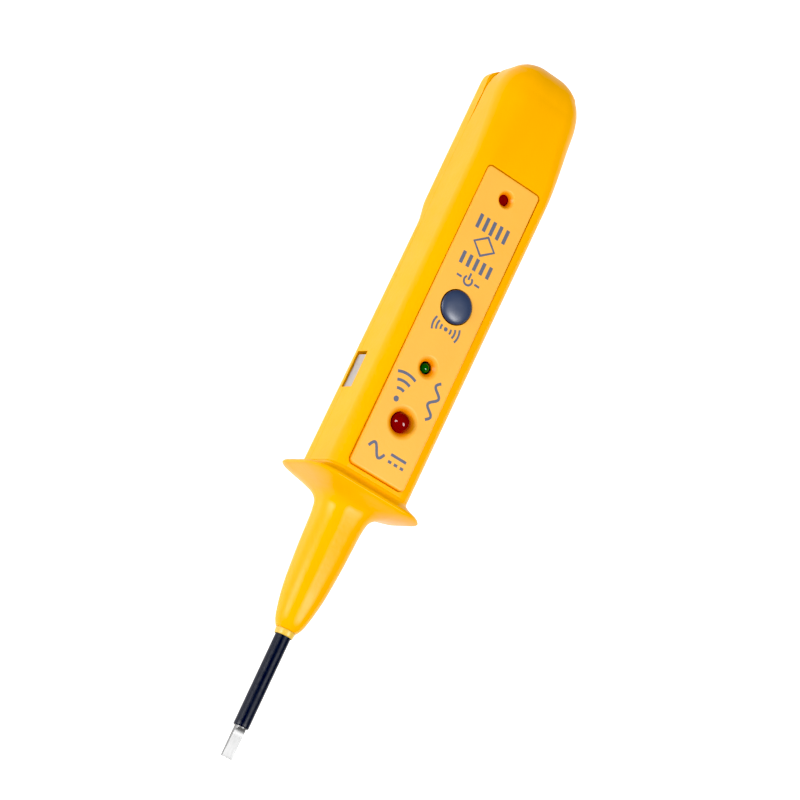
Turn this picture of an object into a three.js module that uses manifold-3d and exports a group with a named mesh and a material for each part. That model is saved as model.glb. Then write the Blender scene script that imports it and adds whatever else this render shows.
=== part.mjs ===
// Pen-type voltage tester with a screwdriver blade: a tapered nose with a hand guard, a rounded
// rectangular body with an inlaid face plate, and a smooth sensor head.
// Millimetres. The blade points along +X, the face plate faces +Z, the touch contact faces -Y.
// Stations run along the axis from a datum a little in front of the blade; at() turns them to X.
import * as THREE from "three";
import { mergeVertices } from "three/addons/utils/BufferGeometryUtils.js";
import Module from "manifold-3d";

const wasm = await Module();
wasm.setup();

// Driving dimensions ---------------------------------------------------------------------------
const TIP = 3.1; // station of the blade's tip
const HEAD_END = 189.55;
const LENGTH = HEAD_END - TIP;
const AXIS_HEIGHT = 11.5; // the guard's rim is the lowest point
const CLEARANCE = 0.2; // between touching pieces
const WALL = 1.6;

const BLADE = {
  diameter: 2.9, tipThickness: 0.7, flatEnd: 8.3, flatThickness: 0.9, runOutEnd: 10.8, end: 84,
};
const SLEEVE = { start: 11, end: 58, outer: 3.85, inner: 3.1 };
const COLLAR = { start: 34.6, end: 36.1, front: 2.1, rear: 2.55 };
const NOSE = { start: 36.3, bore: 4.3, rim: 72.6, seat: 75.1, rimWide: 16.8, rimTall: 11.5, rimRadius: 7 };
const SPIGOT = { end: 81, halfWidth: 9.6, top: 7.5, bottom: -7.9, wall: 1.5 };

const BODY = {
  start: 75.4, startTop: 9.4, endTop: 10.4, corner: 4.2, startHalf: 11.85, endHalf: 12, wideAt: 162,
};
const BACK = { start: -9.5, waist: -8.3, waistAt: 140.5, hump: -10.1, humpStart: 140.5, humpFull: 147.5 };
const HEAD = {
  roundStart: 176.35, power: 2.38, corner: 6.5,
  droopStart: 157, droopEnd: 180.6, top: 8.45, mid: -0.37, chin: 3.6,
};
const PARTING = -3.4; // height of the joint line between front shell and rear cover
const COVER = {
  roundStart: 182, end: 185, power: 2.6, floor: 1,
  cornerStart: 180.5, cornerEnd: 185.9, cornerPower: 2.8,
};
const GROOVE = { start: 168, end: 186.2, depth: 0.9 };

const PLATE = {
  y: -0.4, start: 76.7, end: 157.9, halfWidth: 8.1, corner: 1.2,
  top: 10.5, bottom: 8.9, seat: 8.7, bevel: 0.7,
};
const SHELL_INNER_TOP = 7.9;
const VOLTAGE_LED = { at: 91.4, diameter: 5, height: 8.6, recess: 8.8, throat: 5.4, dome: 11.7 };
const CONTINUITY_LED = { at: 106.2, diameter: 3, height: 5.3, recess: 6.3, throat: 3.5, dome: 9.7 };
const DETECTOR_LED = { at: 152.4, diameter: 3, height: 5.3, recess: 5, throat: 2.7, dome: 8.75 };
const LEDS = [VOLTAGE_LED, CONTINUITY_LED, DETECTOR_LED];
const LEG = { spread: 1.27, half: 0.25 };
const BUTTON = { at: 122.7, diameter: 8.4, crown: 11.7, flange: 10.4, flangeTop: 7.6, stem: 3 };
const BUTTON_HOLE = 9;

const WINDOW = { start: 95.1, end: 104.8, low: -4.6, high: 0.3 };
const BOARD = { start: 86.5, end: 168, halfWidth: 9.2, bottom: 1.6, top: 2.7 };
const SCREWS_AT = [100.8, 139.5];
const SCREW = { y: 6.6, head: 3.6, shank: 1.9, length: 4, headHeight: 1.2, boss: 4.6, slot: 0.5 };
const BATTERY = { start: 150.9, length: 28.5, diameter: 10.3, height: -3.8, cap: 5.5, capLength: 1.2 };
const SWITCH = { side: 6, height: 3.4, bore: 4.8, mouth: 3.8 };
const PLUNGER = { diameter: 3.4, shoulder: 4.3, top: 6.55 };
const CHIP = { at: 140.5, y: -0.5, length: 9.8, width: 6.2, low: 0.6, high: 3.6, pitch: 2.54, pin: 0.6 };
const SENSOR = { start: 163, end: 181.5, halfWidth: 6, tipDiameter: 7, thickness: 0.5 };

const ARC_STEPS = 6;
const ROUND = 28; // sides of the larger round pieces
const SMALL_ROUND = 16;

// Helpers --------------------------------------------------------------------------------------
const at = (station) => LENGTH / 2 + TIP - station;
const clamp = (t) => Math.min(1, Math.max(0, t));
const mix = (a, b, t) => a + (b - a) * clamp(t);
const ease = (t) => clamp(t) ** 2 * (3 - 2 * clamp(t));

function solidOf(geometry) {
  const bare = geometry.clone();
  bare.deleteAttribute("normal");
  bare.deleteAttribute("uv");
  const merged = mergeVertices(bare, 1e-4);
  const vertProperties = merged.attributes.position.array;
  const triVerts = new Uint32Array(merged.index.array);
  return new wasm.Manifold(new wasm.Mesh({ numProp: 3, vertProperties, triVerts }));
}

function geometryOf(solid) {
  const mesh = solid.getMesh();
  const geometry = new THREE.BufferGeometry();
  geometry.setAttribute("position", new THREE.BufferAttribute(mesh.vertProperties, 3));
  geometry.setIndex(new THREE.BufferAttribute(mesh.triVerts, 1));
  geometry.computeVertexNormals();
  return geometry;
}

// A block between two stations and between y and z limits.
function block(start, end, y0, y1, z0, z1) {
  const geometry = new THREE.BoxGeometry(end - start, y1 - y0, z1 - z0);
  geometry.translate(at((start + end) / 2), (y0 + y1) / 2, (z0 + z1) / 2);
  return solidOf(geometry);
}

// Points of a rounded rectangle in the YZ plane, counter-clockwise seen from +X.
function ring({ half, top, bottom, topRadius, bottomRadius }) {
  const tall = (top - bottom) / 2;
  const rt = Math.min(topRadius, 0.985 * half, 0.985 * tall);
  const rb = Math.min(bottomRadius ?? topRadius, 0.985 * half, 0.985 * tall);
  const corners = [
    [half - rt, top - rt, rt],
    [-half + rt, top - rt, rt],
    [-half + rb, bottom + rb, rb],
    [half - rb, bottom + rb, rb],
  ];
  return corners.flatMap(([y, z, r], corner) =>
    Array.from({ length: ARC_STEPS + 1 }, (_, i) => {
      const angle = (corner + i / ARC_STEPS) * (Math.PI / 2);
      return [y + r * Math.cos(angle), z + r * Math.sin(angle)];
    }),
  );
}

// A closed skin through a row of sections, each with its station.
function loft(sections) {
  const rows = [...sections].sort((a, b) => b.station - a.station);
  const count = 4 * (ARC_STEPS + 1);
  const positions = [];
  for (const row of rows) for (const [y, z] of ring(row)) positions.push(at(row.station), y, z);
  const index = [];
  for (let i = 0; i + 1 < rows.length; i++) {
    for (let j = 0; j < count; j++) {
      const a = i * count + j;
      const b = i * count + ((j + 1) % count);
      index.push(a, b, a + count, b, b + count, a + count);
    }
  }
  const last = (rows.length - 1) * count;
  for (const [row, first, turned] of [[rows[0], 0, true], [rows.at(-1), last, false]]) {
    const centre = positions.length / 3;
    positions.push(at(row.station), 0, (row.top + row.bottom) / 2);
    for (let j = 0; j < count; j++) {
      const a = first + j;
      const b = first + ((j + 1) % count);
      index.push(centre, ...(turned ? [b, a] : [a, b]));
    }
  }
  const geometry = new THREE.BufferGeometry();
  geometry.setAttribute("position", new THREE.Float32BufferAttribute(positions, 3));
  geometry.setIndex(index);
  return solidOf(geometry);
}

// A turned piece about the tester's axis; the profile is [station, radius] pairs.
function turned(profile, sides = ROUND) {
  const points = profile.map(([station, radius]) => new THREE.Vector2(radius, station));
  const geometry = new THREE.LatheGeometry(points, sides);
  geometry.rotateZ(Math.PI / 2);
  geometry.translate(at(0), 0, 0);
  return solidOf(geometry);
}

// A turned piece standing on Z at a station; the profile is [height, radius] pairs.
function upright(station, profile, sides = ROUND, y = PLATE.y) {
  const points = profile.map(([height, radius]) => new THREE.Vector2(radius, height));
  const geometry = new THREE.LatheGeometry(points, sides);
  geometry.rotateX(Math.PI / 2);
  geometry.translate(at(station), y, 0);
  return solidOf(geometry);
}

const peg = (station, z0, z1, diameter, sides = ROUND, y = PLATE.y) =>
  upright(station, [[z0, 0], [z0, diameter / 2], [z1, diameter / 2], [z1, 0]], sides, y);

const colours = {
  shell: 0xffb60a,
  plate: 0xffb810,
  collar: 0xe9c552,
  steel: 0xd8d8d4,
  sleeve: 0x1e222b,
  button: 0x262f47,
  redLens: 0x8a0508,
  greenLens: 0x1f6b28,
  board: 0x1d6b3c,
  black: 0x1b1b1d,
  brass: 0xc9a24a,
  resistor: 0xd2b48c,
  copper: 0xc07a45,
  battery: 0x9aa0a6,
};

const tester = new THREE.Group();

function add(name, solid, color, roughness = 0.4, metalness = 0) {
  const material = new THREE.MeshStandardMaterial({ color, roughness, metalness });
  const mesh = new THREE.Mesh(geometryOf(solid), material);
  mesh.name = name;
  tester.add(mesh);
}

// Housing --------------------------------------------------------------------------------------
const bodyHalf = (s) => mix(BODY.startHalf, BODY.endHalf, (s - BODY.start) / (BODY.wideAt - BODY.start));
const frontTop = (s) => mix(BODY.startTop, BODY.endTop, (s - BODY.start) / (BODY.wideAt - BODY.start));
const droop = (s) => clamp((s - HEAD.droopStart) / (HEAD.droopEnd - HEAD.droopStart)) ** 1.55;
const bodyTop = (s) => mix(frontTop(s), HEAD.top, droop(s));
const waistBottom = (s) => mix(BACK.start, BACK.waist, (s - BODY.start) / (BACK.waistAt - BODY.start));
const humpShare = (s) => ease((s - BACK.humpStart) / (BACK.humpFull - BACK.humpStart));
const backBottom = (s) => mix(waistBottom(s), BACK.hump, humpShare(s));

// How much of the section is left on a rounded end.
const endShare = (s, start, end, power) => (1 - clamp((s - start) / (end - start)) ** power) ** (1 / power);
const headShare = (s, end) => endShare(s, HEAD.roundStart, end, HEAD.power);

// Stations that grow closer together and stop a little short of the end.
function closing(start, end, steps, reach) {
  const angle = (Math.PI / 2) * reach;
  return Array.from({ length: steps }, (_, i) => {
    return start + (end - start) * Math.sin(((i + 1) / steps) * angle);
  });
}

function frontSections(inset, end) {
  const along = [BODY.start, 120, HEAD.droopStart, 163, 168, 172.5];
  return [...along, HEAD.roundStart, ...closing(HEAD.roundStart, end, 11, 0.97)].map((station) => {
    const share = headShare(station, end);
    const half = (bodyHalf(station) - inset) * share;
    const top = HEAD.mid + (bodyTop(station) - HEAD.mid - inset) * share;
    const bottom = HEAD.mid - (HEAD.chin - inset) * share - 8 * ease((share - 0.76) / 0.17);
    const corner = mix(BODY.corner, HEAD.corner, ease((station - HEAD.droopStart) / 21)) - 0.6 * inset;
    return { station, half, top, bottom, topRadius: corner * share ** 0.8 };
  });
}

function rearSections(inset, floor, start, end) {
  const along = [start, 110, BACK.humpStart, 145, 146.5, 148, BACK.humpFull, 168, HEAD.roundStart, 180];
  const roundStart = COVER.roundStart - inset;
  return [...along, ...closing(180, end, 6, 0.94)].map((station) => {
    const share = endShare(station, roundStart, end, COVER.power);
    const width = endShare(station, COVER.cornerStart, COVER.cornerEnd, COVER.cornerPower);
    const half = (bodyHalf(station) - inset) * width;
    const bottom = PARTING + (backBottom(station) + floor - PARTING) * mix(0.3, 1, share);
    return { station, half, top: 6, bottom, topRadius: 2, bottomRadius: BODY.corner - 0.6 * inset };
  });
}

const aboveParting = block(60, HEAD_END + 5, -20, 20, PARTING, 20);
const belowParting = block(60, HEAD_END + 5, -20, 20, -20, PARTING - CLEARANCE);

function recessCutter({ at: station, recess, throat }) {
  const surface = PLATE.top + 0.01;
  const neck = PLATE.bottom + 0.3;
  const side = [[8, throat / 2], [neck, throat / 2], [surface, recess / 2]];
  return upright(station, [[8, 0], ...side, [surface, 0]]);
}

function windowCutter() {
  return block(WINDOW.start, WINDOW.end, -14, -9.3, WINDOW.low, WINDOW.high);
}

// A shallow V along the joint line, which deepens towards the head and gives a fingernail a hold.
function grooveCutter(side) {
  const shape = new THREE.Shape();
  shape.moveTo(at(GROOVE.start), PARTING - 0.4);
  shape.lineTo(at(GROOVE.end), PARTING - 0.4);
  shape.lineTo(at(GROOVE.end), PARTING + GROOVE.depth);
  shape.closePath();
  const geometry = new THREE.ExtrudeGeometry(shape, { depth: 1.3, bevelEnabled: false });
  geometry.rotateX(Math.PI / 2);
  geometry.translate(0, side < 0 ? -10.3 : 11.6, 0);
  return solidOf(geometry);
}

function frontShell() {
  let shell = loft(frontSections(0, HEAD_END)).intersect(aboveParting);
  const inner = frontSections(WALL, HEAD_END - 2.2);
  inner[0] = { ...inner[0], station: BODY.start - 2 };
  shell = shell.subtract(loft(inner.map((row) => ({ ...row, top: Math.min(row.top, SHELL_INNER_TOP) }))));
  for (const station of SCREWS_AT) {
    const boss = peg(station, BOARD.top + 0.1, SHELL_INNER_TOP + 0.2, SCREW.boss, SMALL_ROUND, SCREW.y);
    const holeTop = BOARD.top + SCREW.length + 0.1;
    const hole = peg(station, BOARD.top, holeTop, SCREW.shank + 0.3, SMALL_ROUND, SCREW.y);
    shell = shell.add(boss).subtract(hole);
  }
  const seat = PLATE.halfWidth + CLEARANCE;
  const [low, high] = [PLATE.y - seat, PLATE.y + seat];
  shell = shell.subtract(block(PLATE.start - CLEARANCE, PLATE.end + CLEARANCE, low, high, PLATE.seat, 20));
  for (const lamp of LEDS) {
    shell = shell.subtract(peg(lamp.at, 5, 12, lamp.diameter + 0.5));
  }
  shell = shell.subtract(peg(BUTTON.at, 5, 12, BUTTON_HOLE));
  for (const side of [-1, 1]) shell = shell.subtract(grooveCutter(side));
  return shell.subtract(windowCutter());
}

function rearCover() {
  let cover = loft(rearSections(0, 0, BODY.start, COVER.end)).intersect(belowParting);
  cover = cover.subtract(loft(rearSections(WALL, COVER.floor, BODY.start - 2, COVER.end - 2)));
  // Ribs that cradle the battery, and spring tongues that enter the front shell.
  for (const station of [BATTERY.start + 6, BATTERY.start + 22]) {
    const rib = block(station, station + 1.2, -9.9, 9.9, BACK.hump + 0.6, -5.2);
    const cradle = turned([[station - 1, 0], [station - 1, 5.4], [station + 3, 5.4], [station + 3, 0]]);
    cover = cover.add(rib.subtract(cradle.translate([0, 0, BATTERY.height])));
  }
  const low = PARTING - 3;
  for (const station of [88, 118, 141, 168]) {
    const end = station + 5;
    for (const side of [-1, 1]) {
      const y = side * (bodyHalf(station) - WALL - CLEARANCE - 0.4);
      const tongue = block(station, end, y - 0.4, y + 0.4, low, PARTING + 1.4);
      const middle = y + side / 2;
      const root = block(station, end, middle - 0.7, middle + 0.7, low, PARTING - 1);
      cover = cover.add(tongue).add(root);
    }
  }
  return cover.subtract(windowCutter());
}

function noseCone() {
  const shank = [
    [NOSE.start, 2.6], [37, 3.1], [38.2, 3.6], [40, 4.05], [42.6, 4.55], [46, 5.05],
    [50.5, 5.45], [56, 5.8], [61, 6], [65, 6.2],
  ];
  // Station and spread of the flare, from the shank's half size to the rim's.
  const flare = [
    [67.5, 0.04], [68.6, 0.11], [69.5, 0.22], [70.3, 0.4], [71, 0.6], [71.7, 0.82], [72.2, 0.96],
  ];
  const throat = 6.3;
  const round = shank.map(([station, half], i) => ({
    station, half, top: half, bottom: -half, topRadius: half * mix(0.985, 0.82, i / (shank.length - 1)),
  }));
  const bell = flare.map(([station, share]) => {
    const tall = mix(throat, NOSE.rimTall, share);
    const half = mix(throat, NOSE.rimWide, share);
    return { station, half, top: tall, bottom: -tall, topRadius: mix(5.3, NOSE.rimRadius, share) };
  });
  const rim = [NOSE.rim - 0.2, NOSE.rim + 0.2].map((station) => ({
    station, half: NOSE.rimWide, top: NOSE.rimTall, bottom: -NOSE.rimTall, topRadius: NOSE.rimRadius,
  }));
  const neck = [[73.3, 0.85], [73.8, 0.5], [74.4, 0.2], [NOSE.seat, 0]].map(([station, share]) => ({
    station,
    half: mix(BODY.startHalf, NOSE.rimWide, share),
    top: mix(BODY.startTop, NOSE.rimTall, share),
    bottom: mix(BACK.start, -NOSE.rimTall, share),
    topRadius: mix(BODY.corner, NOSE.rimRadius, share),
  }));
  const plug = [NOSE.seat - 1, SPIGOT.end].map((station) => ({
    station, half: SPIGOT.halfWidth, top: SPIGOT.top, bottom: SPIGOT.bottom, topRadius: 3,
  }));
  const hollow = [NOSE.seat - 2, SPIGOT.end + 1].map((station) => ({
    station,
    half: SPIGOT.halfWidth - SPIGOT.wall,
    top: SPIGOT.top - SPIGOT.wall,
    bottom: SPIGOT.bottom + SPIGOT.wall,
    topRadius: 2,
  }));
  const bore = turned([[30, 0], [30, NOSE.bore / 2], [90, NOSE.bore / 2], [90, 0]]);
  return loft([...round, ...bell, ...rim, ...neck]).add(loft(plug)).subtract(loft(hollow)).subtract(bore);
}

function facePlate() {
  const shape = new THREE.Shape();
  const x0 = at(PLATE.end);
  const x1 = at(PLATE.start);
  const half = PLATE.halfWidth;
  const r = PLATE.corner;
  shape.moveTo(x0 + r, -half);
  shape.lineTo(x1 - r, -half);
  shape.absarc(x1 - r, -half + r, r, -Math.PI / 2, 0);
  shape.absarc(x1 - r, half - r, r, 0, Math.PI / 2);
  shape.absarc(x0 + r, half - r, r, Math.PI / 2, Math.PI);
  shape.absarc(x0 + r, -half + r, r, Math.PI, 1.5 * Math.PI);
  const options = {
    depth: PLATE.top - PLATE.bottom - PLATE.bevel,
    bevelThickness: PLATE.bevel,
    bevelSize: PLATE.bevel,
    bevelOffset: -PLATE.bevel,
    bevelSegments: 3,
    curveSegments: 5,
  };
  const geometry = new THREE.ExtrudeGeometry(shape, options);
  geometry.translate(0, PLATE.y, PLATE.bottom);
  let plate = solidOf(geometry).intersect(block(70, 170, -12, 12, PLATE.bottom, 20));
  for (const lamp of LEDS) plate = plate.subtract(recessCutter(lamp));
  return plate.subtract(peg(BUTTON.at, 8, 12, BUTTON_HOLE));
}

add("front_shell", frontShell(), colours.shell);
add("rear_cover", rearCover(), colours.shell);
add("nose_cone", noseCone(), colours.shell);
add("face_plate", facePlate(), colours.plate, 0.45);

// Blade ----------------------------------------------------------------------------------------
function blade() {
  const r = BLADE.diameter / 2;
  const rod = turned([[TIP, 0], [TIP, r], [BLADE.end, r], [BLADE.end, 0]], 24);
  const shape = new THREE.Shape();
  shape.moveTo(at(TIP - 1), BLADE.tipThickness / 2);
  shape.lineTo(at(TIP + 1), BLADE.tipThickness / 2);
  shape.lineTo(at(BLADE.flatEnd), BLADE.flatThickness / 2);
  shape.lineTo(at(BLADE.runOutEnd), r + 0.05);
  shape.lineTo(at(BLADE.runOutEnd), r + 2);
  shape.lineTo(at(TIP - 1), r + 2);
  shape.closePath();
  const flat = new THREE.ExtrudeGeometry(shape, { depth: 8, bevelEnabled: false });
  flat.rotateX(Math.PI / 2);
  flat.translate(0, 4, 0);
  const upper = solidOf(flat);
  return rod.subtract(upper).subtract(upper.rotate([180, 0, 0]));
}

function sleeve() {
  const { start, end } = SLEEVE;
  const inner = SLEEVE.inner / 2;
  const outer = SLEEVE.outer / 2;
  return turned([[start, inner], [start, outer], [end, outer], [end, inner], [start, inner]], 24);
}

function collar() {
  const bore = (SLEEVE.outer + 0.35) / 2;
  const { start, end, front, rear } = COLLAR;
  const outside = [[start, front + 0.05], [start + 0.5, front + 0.25], [end, rear]];
  return turned([[start, bore], ...outside, [end, bore], [start, bore]], 24);
}

add("blade", blade(), colours.steel, 0.25, 1);
add("blade_sleeve", sleeve(), colours.sleeve, 0.5);
add("nose_collar", collar(), colours.collar, 0.35);

// Lamps and button -----------------------------------------------------------------------------
// The lens's dome comes to the height `dome`; a lens that stands clear of the board has legs.
function led({ at: station, diameter, height, dome }) {
  const r = diameter / 2;
  const base = dome - height;
  const steps = 4;
  const cap = Array.from({ length: steps + 1 }, (_, i) => {
    const angle = (i / steps) * (Math.PI / 2);
    return [dome - r + r * Math.sin(angle), i === steps ? 0 : r * Math.cos(angle)];
  });
  const foot = r + 0.4;
  let lamp = upright(station, [[base, 0], [base, foot], [base + 0.9, foot], [base + 0.9, r], ...cap], 20);
  const legLow = BOARD.top + 0.05;
  if (base > legLow + 0.2) {
    const { half } = LEG;
    for (const leg of [station - LEG.spread, station + LEG.spread]) {
      const wire = block(leg - half, leg + half, PLATE.y - half, PLATE.y + half, legLow, base + 0.2);
      lamp = lamp.add(wire);
    }
  }
  return lamp;
}

add("voltage_led", led(VOLTAGE_LED), colours.redLens, 0.15);
add("continuity_led", led(CONTINUITY_LED), colours.greenLens, 0.15);
add("detector_led", led(DETECTOR_LED), colours.redLens, 0.15);

function powerButton() {
  const r = BUTTON.diameter / 2;
  const low = PLUNGER.top + 0.05;
  const flangeLow = BUTTON.flangeTop - 0.8;
  const shoulder = PLATE.top + 0.1;
  const rise = BUTTON.crown - PLATE.top;
  return upright(BUTTON.at, [
    [low, 0], [low, BUTTON.stem / 2],
    [flangeLow, BUTTON.stem / 2], [flangeLow, BUTTON.flange / 2],
    [BUTTON.flangeTop, BUTTON.flange / 2], [BUTTON.flangeTop, r],
    [shoulder, r], [shoulder + 0.45 * rise, r - 0.35], [shoulder + 0.75 * rise, r - 1.5],
    [BUTTON.crown, 0],
  ]);
}

function switchBody() {
  const half = SWITCH.side / 2;
  const low = BOARD.top + 0.05;
  const high = low + SWITCH.height;
  const body = block(BUTTON.at - half, BUTTON.at + half, PLATE.y - half, PLATE.y + half, low, high);
  const bore = peg(BUTTON.at, low + 0.4, high - 0.5, SWITCH.bore, 20);
  const mouth = peg(BUTTON.at, low + 1, high + 1, SWITCH.mouth, 20);
  return body.subtract(bore).subtract(mouth);
}

function switchPlunger() {
  const low = BOARD.top + 2.35;
  const step = low + 0.4;
  const shoulder = PLUNGER.shoulder / 2;
  const r = PLUNGER.diameter / 2;
  const side = [[low, shoulder], [step, shoulder], [step, r], [PLUNGER.top, r]];
  return upright(BUTTON.at, [[low, 0], ...side, [PLUNGER.top, 0]], 20);
}

function switchDome() {
  const low = BOARD.top + 0.55;
  const curve = [[low, 2.1], [low + 0.2, 2.1], [low + 0.6, 1.2]];
  return upright(BUTTON.at, [[low, 0], ...curve, [low + 0.75, 0]], 20);
}

add("power_button", powerButton(), colours.button, 0.45);
add("switch_body", switchBody(), colours.black, 0.5);
add("switch_plunger", switchPlunger(), colours.black, 0.5);
add("switch_dome", switchDome(), colours.steel, 0.3, 1);

// Board and what it carries --------------------------------------------------------------------
function circuitBoard() {
  let board = block(BOARD.start, BOARD.end, -BOARD.halfWidth, BOARD.halfWidth, BOARD.bottom, BOARD.top);
  for (const station of SCREWS_AT) {
    board = board.subtract(peg(station, 0, 5, SCREW.shank + 0.4, SMALL_ROUND, SCREW.y));
  }
  return board;
}

function boardScrew(station) {
  const seat = BOARD.bottom - 0.05;
  const low = seat - SCREW.headHeight;
  const r = SCREW.shank / 2;
  const head = SCREW.head / 2;
  const top = BOARD.top + SCREW.length;
  const outside = [[low, head - 0.4], [low + 0.5, head], [seat, head], [seat, r], [top - 0.8, r]];
  const cross = [[1.1, SCREW.slot / 2], [SCREW.slot / 2, 1.1]].map(([dx, dy]) =>
    block(station - dx, station + dx, SCREW.y - dy, SCREW.y + dy, low - 1, low + 0.6),
  );
  const screw = upright(station, [[low, 0], ...outside, [top, 0]], SMALL_ROUND, SCREW.y);
  return screw.subtract(cross[0]).subtract(cross[1]);
}

// An axial resistor lying along the board, with its two leads bent down to the board.
function resistor(station, y, length, diameter) {
  const z = BOARD.top + 0.25 + diameter / 2;
  const r = diameter / 2;
  const half = length / 2;
  const waist = r * 0.85;
  const cap = [[-half, 0], [-half, r], [-half + 1, r], [-half + 1.3, waist]];
  const profile = [...cap, ...cap.map(([s, radius]) => [-s, radius]).reverse()];
  const moved = profile.map(([s, radius]) => [station + s, radius]);
  const body = turned(moved, SMALL_ROUND).translate([0, y, z]);
  const reach = half + 1.4;
  const wire = 0.3;
  const lead = block(station - reach, station + reach, y - wire, y + wire, z - wire, z + wire);
  const legs = [station - reach, station + reach].map((leg) =>
    block(leg - wire, leg + wire, y - wire, y + wire, BOARD.top + 0.05, z + wire),
  );
  return body.add(lead).add(legs[0]).add(legs[1]);
}

// An eight-pin package standing on its bent pins.
function chip() {
  const { y, pin } = CHIP;
  const half = CHIP.width / 2;
  const ends = [CHIP.at - CHIP.length / 2, CHIP.at + CHIP.length / 2];
  const foot = BOARD.top + 0.05;
  const shoulder = BOARD.top + 1.9;
  const high = shoulder + 0.3;
  let body = block(...ends, y - half, y + half, BOARD.top + CHIP.low, BOARD.top + CHIP.high);
  for (const side of [-1, 1]) {
    const arm = y + side * (half + 0.3);
    const leg = y + side * (half + 0.65);
    for (const k of [-1.5, -0.5, 0.5, 1.5]) {
      const start = CHIP.at + k * CHIP.pitch - pin / 2;
      body = body.add(block(start, start + pin, arm - 0.5, arm + 0.5, shoulder, high));
      body = body.add(block(start, start + pin, leg - 0.15, leg + 0.15, foot, high));
    }
  }
  return body;
}

// A brass strip soldered to the board, with a pad bent down against the end of the blade.
function bladeContact() {
  const padEnd = BOARD.start - 1.3;
  const padStart = padEnd - 0.9;
  const low = BOARD.top + 0.1;
  const high = low + 0.5;
  const foot = block(padStart, BOARD.start + 6.7, -6.6, -3.6, low, high);
  const riser = block(padStart, padEnd, -6.6, -3.6, -1.6, high);
  return foot.add(riser).add(block(padStart, padEnd, -6.6, 1.6, -1.6, 1.4));
}

// A sheet with a raised pad in the side window, held behind the wall, and a strap to the board.
function touchContact() {
  const { start, end, low, high } = WINDOW;
  const outside = -(bodyHalf(start) - WALL) + CLEARANCE;
  const inside = outside + 0.5;
  const tabHigh = BOARD.top + 0.6;
  const pad = block(start + 0.3, end - 0.7, -11.5, inside, low + 0.2, high - 0.2);
  const backing = block(start - 1.6, end + 1.6, outside, inside, PARTING + 0.4, high + 1);
  const strap = block(start + 3, end - 3, outside, inside, high, tabHigh);
  const foot = block(start + 3, end - 3, outside, outside + 2.6, BOARD.top + 0.15, tabHigh);
  return pad.add(backing).add(strap).add(foot);
}

add("circuit_board", circuitBoard(), colours.board, 0.5);
SCREWS_AT.forEach((station, i) => add(`board_screw_${i + 1}`, boardScrew(station), colours.steel, 0.3, 1));
add("safety_resistor", resistor(101.5, -4.3, 10.5, 3.4), colours.resistor, 0.5);
add("resistor_1", resistor(116, -5.5, 6.2, 2.3), colours.resistor, 0.5);
add("resistor_2", resistor(116, 5.5, 6.2, 2.3), colours.resistor, 0.5);
add("resistor_3", resistor(128, -7, 6.2, 2.3), colours.resistor, 0.5);
add("detector_chip", chip(), colours.black, 0.6);
add("capacitor", peg(149.5, BOARD.top + 0.05, BOARD.top + 4.9, 4, 20, 5.5), colours.black, 0.35);
add("blade_contact", bladeContact(), colours.brass, 0.3, 1);
add("touch_contact", touchContact(), colours.steel, 0.3, 1);

// Sensor and battery ---------------------------------------------------------------------------
function sensorPlate() {
  const low = BOARD.top + 0.1;
  const high = low + SENSOR.thickness;
  const foot = block(SENSOR.start, BOARD.end + 2, -4, 4, low, high);
  const tongue = block(BOARD.end + 1.4, SENSOR.end, -SENSOR.halfWidth, SENSOR.halfWidth, low, high);
  return foot.add(tongue).add(peg(SENSOR.end, low, high, SENSOR.tipDiameter));
}

function battery() {
  const { start, length, diameter, height, cap, capLength } = BATTERY;
  const r = diameter / 2;
  const end = start + length;
  const rim = 0.5;
  const shoulder = end - capLength;
  const can = [[start, 0], [start, r - rim], [start + rim, r], [shoulder - rim, r], [shoulder, r - rim]];
  return turned([...can, [shoulder, cap / 2], [end, cap / 2], [end, 0]], 24).translate([0, 0, height]);
}

// The positive terminal is a plain plate; the negative one is a coil on a plate.
function terminalPlate(start) {
  return block(start, start + 0.5, -4.5, 4.5, BATTERY.height - 4, BOARD.bottom - 0.1);
}

class CoilPath extends THREE.Curve {
  getPoint(t) {
    const angle = 2 * Math.PI * 3.5 * t;
    const radius = mix(3.6, 2.2, t);
    const x = at(BATTERY.start - 3.2 + 2.75 * t);
    return new THREE.Vector3(x, radius * Math.cos(angle), radius * Math.sin(angle));
  }
}

function batterySpring() {
  const section = new THREE.Shape();
  section.absarc(0, 0, 0.3, 0, 2 * Math.PI);
  const options = { steps: 56, extrudePath: new CoilPath(), curveSegments: 3 };
  const coil = new THREE.ExtrudeGeometry(section, options);
  return solidOf(coil).translate([0, 0, BATTERY.height]);
}

add("sensor_plate", sensorPlate(), colours.copper, 0.35, 1);
add("battery", battery(), colours.battery, 0.3, 0.6);
add("battery_positive_plate", terminalPlate(BATTERY.start + BATTERY.length + 0.2), colours.steel, 0.3, 1);
add("battery_negative_plate", terminalPlate(BATTERY.start - 4.2), colours.steel, 0.3, 1);
add("battery_spring", batterySpring(), colours.steel, 0.3, 1);

const assembly = new THREE.Group();
tester.position.z = AXIS_HEIGHT;
assembly.add(tester);

export default assembly;
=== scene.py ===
"""A pen-type voltage tester in three bodies: the housing, the push button and the rear cover.

Geometry helpers work in millimetres as (station, y, height): the station runs along the axis from a
datum a little in front of the blade, as in the CAD, and the height is measured from the axis towards
the face plate. place() turns both to the row frame in metres.
"""

import math

import bmesh
import bpy
import numpy as np
from mathutils import Matrix, Vector


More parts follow.
